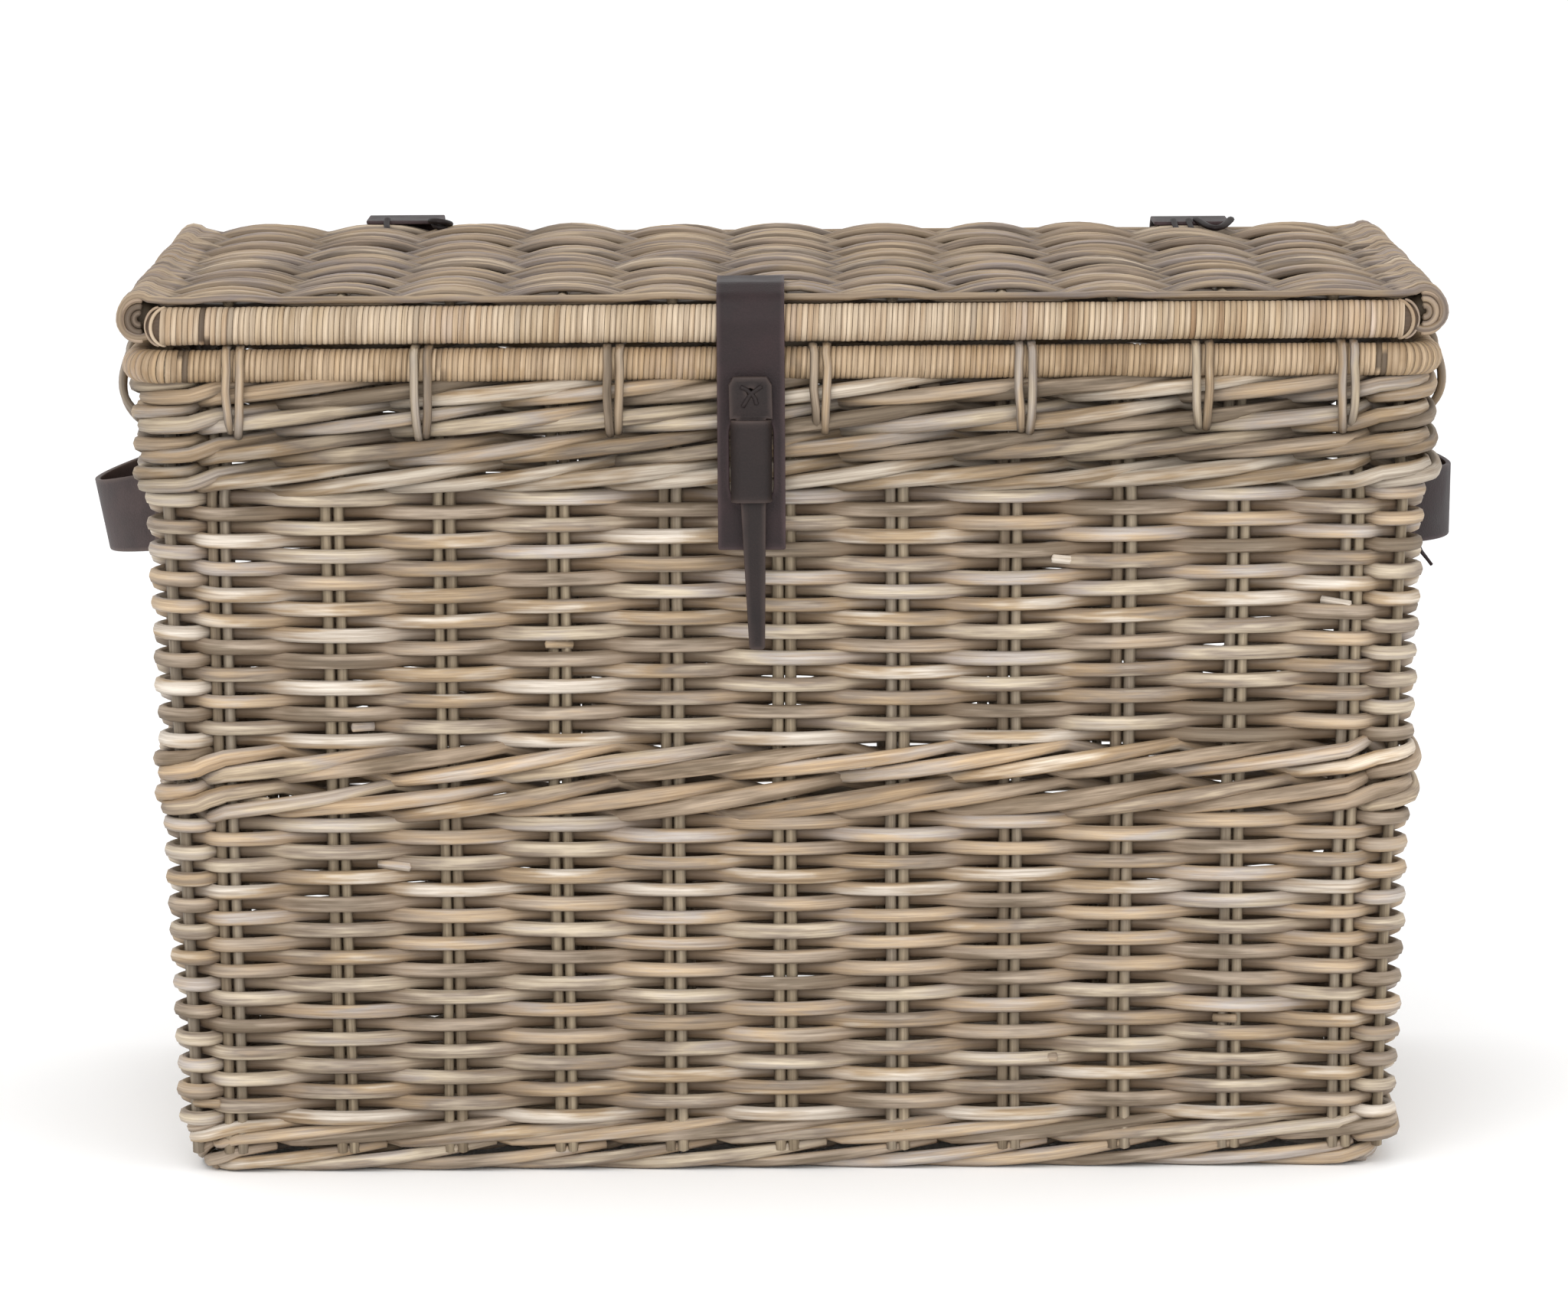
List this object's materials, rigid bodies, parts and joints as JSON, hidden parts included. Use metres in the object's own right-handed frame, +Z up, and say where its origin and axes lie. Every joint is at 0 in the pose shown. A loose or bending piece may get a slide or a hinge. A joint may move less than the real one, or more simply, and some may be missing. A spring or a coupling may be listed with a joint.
{
  "type": "wicker storage trunk",
  "caption": "Rectangular woven wicker trunk with hinged flat lid, leather strap and peg clasp, and leather side handles.",
  "frame": {"origin": "middle of the footprint on the floor", "axes": "+X to the right across the width, +Y to the back where the hinges are, +Z up"},
  "size_m": [0.865, 0.5077, 0.5528],
  "materials": {
    "wicker": "weathered unvarnished rattan weavers, grey-beige",
    "lid_wicker": "weathered unvarnished cane, grey-beige",
    "stake_rod": "unvarnished rattan rod, brown",
    "cane_wrap": "honey-coloured wrapped cane strip, satin",
    "dark_leather": "dark purple-brown worn leather",
    "brown_leather": "brown worn leather"
  },
  "bodies": {
    "basket": {"lower_weave_front": "wicker", "lower_weave_back": "wicker", "lower_weave_left": "wicker", "lower_weave_right": "wicker", "middle_wale_front": "wicker", "middle_wale_back": "wicker", "middle_wale_left": "wicker", "middle_wale_right": "wicker", "upper_weave_front": "wicker", "upper_weave_back": "wicker", "upper_weave_left": "wicker", "upper_weave_right": "wicker", "upper_wale_front": "wicker", "upper_wale_back": "wicker", "upper_wale_left": "wicker", "upper_wale_right": "wicker", "stakes_front": "stake_rod", "stakes_back": "stake_rod", "stakes_left": "stake_rod", "stakes_right": "stake_rod", "stakes_corner": "stake_rod", "foot_border_front": "wicker", "foot_border_back": "wicker", "foot_border_left": "wicker", "foot_border_right": "wicker", "base_mat": "wicker", "base_sticks": "stake_rod", "rim_pole_front": "stake_rod", "rim_pole_back": "stake_rod", "rim_pole_left": "stake_rod", "rim_pole_right": "stake_rod", "rim_wraps": "cane_wrap", "rim_lashings_front": "cane_wrap", "rim_lashings_back": "cane_wrap", "rim_lashings_left": "cane_wrap", "rim_lashings_right": "cane_wrap", "hinge_basket_half_left": "dark_leather", "hinge_knots_left": "dark_leather", "hinge_basket_half_right": "dark_leather", "hinge_knots_right": "dark_leather", "keeper_loop": "brown_leather", "handle_tabs_left": "dark_leather", "handle_tabs_right": "dark_leather"},
    "lid": {"lid_bar_front": "stake_rod", "lid_bar_back": "stake_rod", "lid_wraps": "cane_wrap", "lid_roll_left": "lid_wicker", "lid_roll_right": "lid_wicker", "lid_weave": "lid_wicker", "lid_ribs": "stake_rod", "hinge_lid_half_left": "dark_leather", "hinge_lid_half_right": "dark_leather", "strap_anchor": "dark_leather"},
    "strap": {"strap_flap": "dark_leather"},
    "peg": {"peg": "dark_leather", "peg_tie": "brown_leather"},
    "handle_left": {"handle_left": "dark_leather"},
    "handle_right": {"handle_right": "dark_leather"}
  },
  "joints": [
    {"name": "lid_hinge", "type": "hinge", "parent": "basket", "child": "lid", "pos_m": [0, 0.24245, 0.5175], "axis": [-1, 0, 0], "range_deg": [0, 110]},
    {"name": "strap_swing", "type": "hinge", "parent": "lid", "child": "strap", "pos_m": [-0.019, -0.2299, 0.549], "axis": [-1, 0, 0], "range_deg": [0, 170]},
    {"name": "peg_slide", "type": "slide", "parent": "basket", "child": "peg", "axis": [0, 0, 1], "range_m": [0, 0.16]},
    {"name": "handle_left_swing", "type": "hinge", "parent": "basket", "child": "handle_left", "pos_m": [-0.38745, 0, 0.417], "axis": [0, 1, 0], "range_deg": [0, 40]},
    {"name": "handle_right_swing", "type": "hinge", "parent": "basket", "child": "handle_right", "pos_m": [0.38745, 0, 0.417], "axis": [0, -1, 0], "range_deg": [0, 40]}
  ]
}
